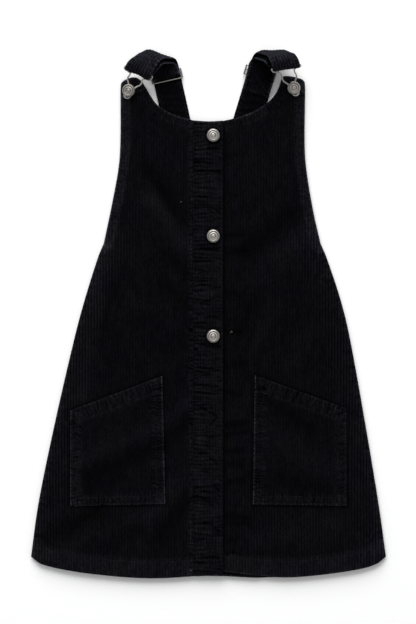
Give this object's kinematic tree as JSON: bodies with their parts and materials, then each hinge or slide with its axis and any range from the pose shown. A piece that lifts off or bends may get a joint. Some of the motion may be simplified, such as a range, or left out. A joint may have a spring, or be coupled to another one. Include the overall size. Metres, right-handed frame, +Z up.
{
  "type": "pinafore dress",
  "caption": "Girl's A-line pinafore dress in wide-wale corduroy, laid flat, with a buttoned front, patch pockets and buckled straps curled to the bib.",
  "frame": {"origin": "on the surface that the dress lies on, under the middle of its box", "axes": "+Z up out of the dress's front, +Y from the hem to the straps, +X to the wearer's left"},
  "size_m": [0.444, 0.6604, 0.0492],
  "materials": {
    "corduroy": "near-black cotton corduroy, wide wale, worn grey along the seams and edges",
    "nickel": "nickel-plated steel, warm light grey, dulled in the grooves"
  },
  "bodies": {
    "root": {"back_panel": "corduroy", "front_panel_right": "corduroy", "front_panel_left": "corduroy", "placket": "corduroy", "pocket_right": "corduroy", "pocket_left": "corduroy", "strap_right": "corduroy", "strap_left": "corduroy", "slider_right": "nickel", "slider_left": "nickel", "buckle_right": "nickel", "buckle_left": "nickel", "bib_button_right": "nickel", "bib_button_left": "nickel", "button_top": "nickel", "button_middle": "nickel", "button_bottom": "nickel"}
  },
  "joints": []
}
